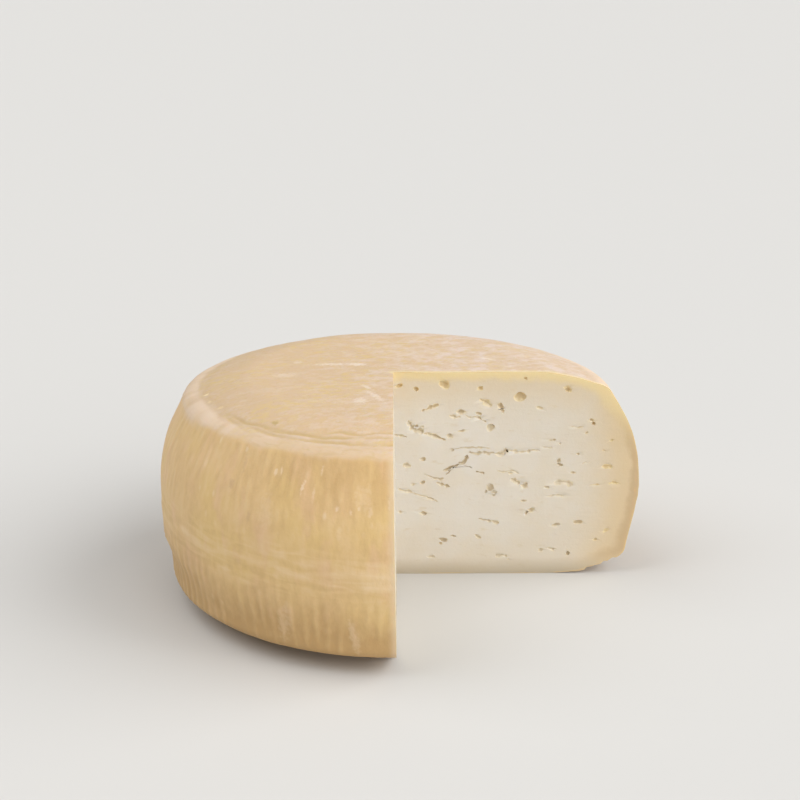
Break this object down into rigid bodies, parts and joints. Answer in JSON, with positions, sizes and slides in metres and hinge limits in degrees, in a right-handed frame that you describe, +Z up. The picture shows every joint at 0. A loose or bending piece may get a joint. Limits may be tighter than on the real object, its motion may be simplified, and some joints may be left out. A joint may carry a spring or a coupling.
{
  "type": "goat cheese",
  "caption": "Round semi-hard goat cheese, a rinded wheel with a rounded shoulder, belly and sloping foot, with one quarter cut out so that the open paste with its small eyes and slits shows.",
  "frame": {"origin": "middle of the box's underside, which is where the wheel's axis meets the surface it stands on", "axes": "+Z up along the wheel's axis; one cut faces -Y and the other faces +X, so the missing quarter is where X is positive and Y is negative"},
  "size_m": [0.2004, 0.1997, 0.0905],
  "materials": {
    "cheese": "matt waxy rind"
  },
  "bodies": {
    "root": {"cheese": "cheese"}
  },
  "joints": []
}
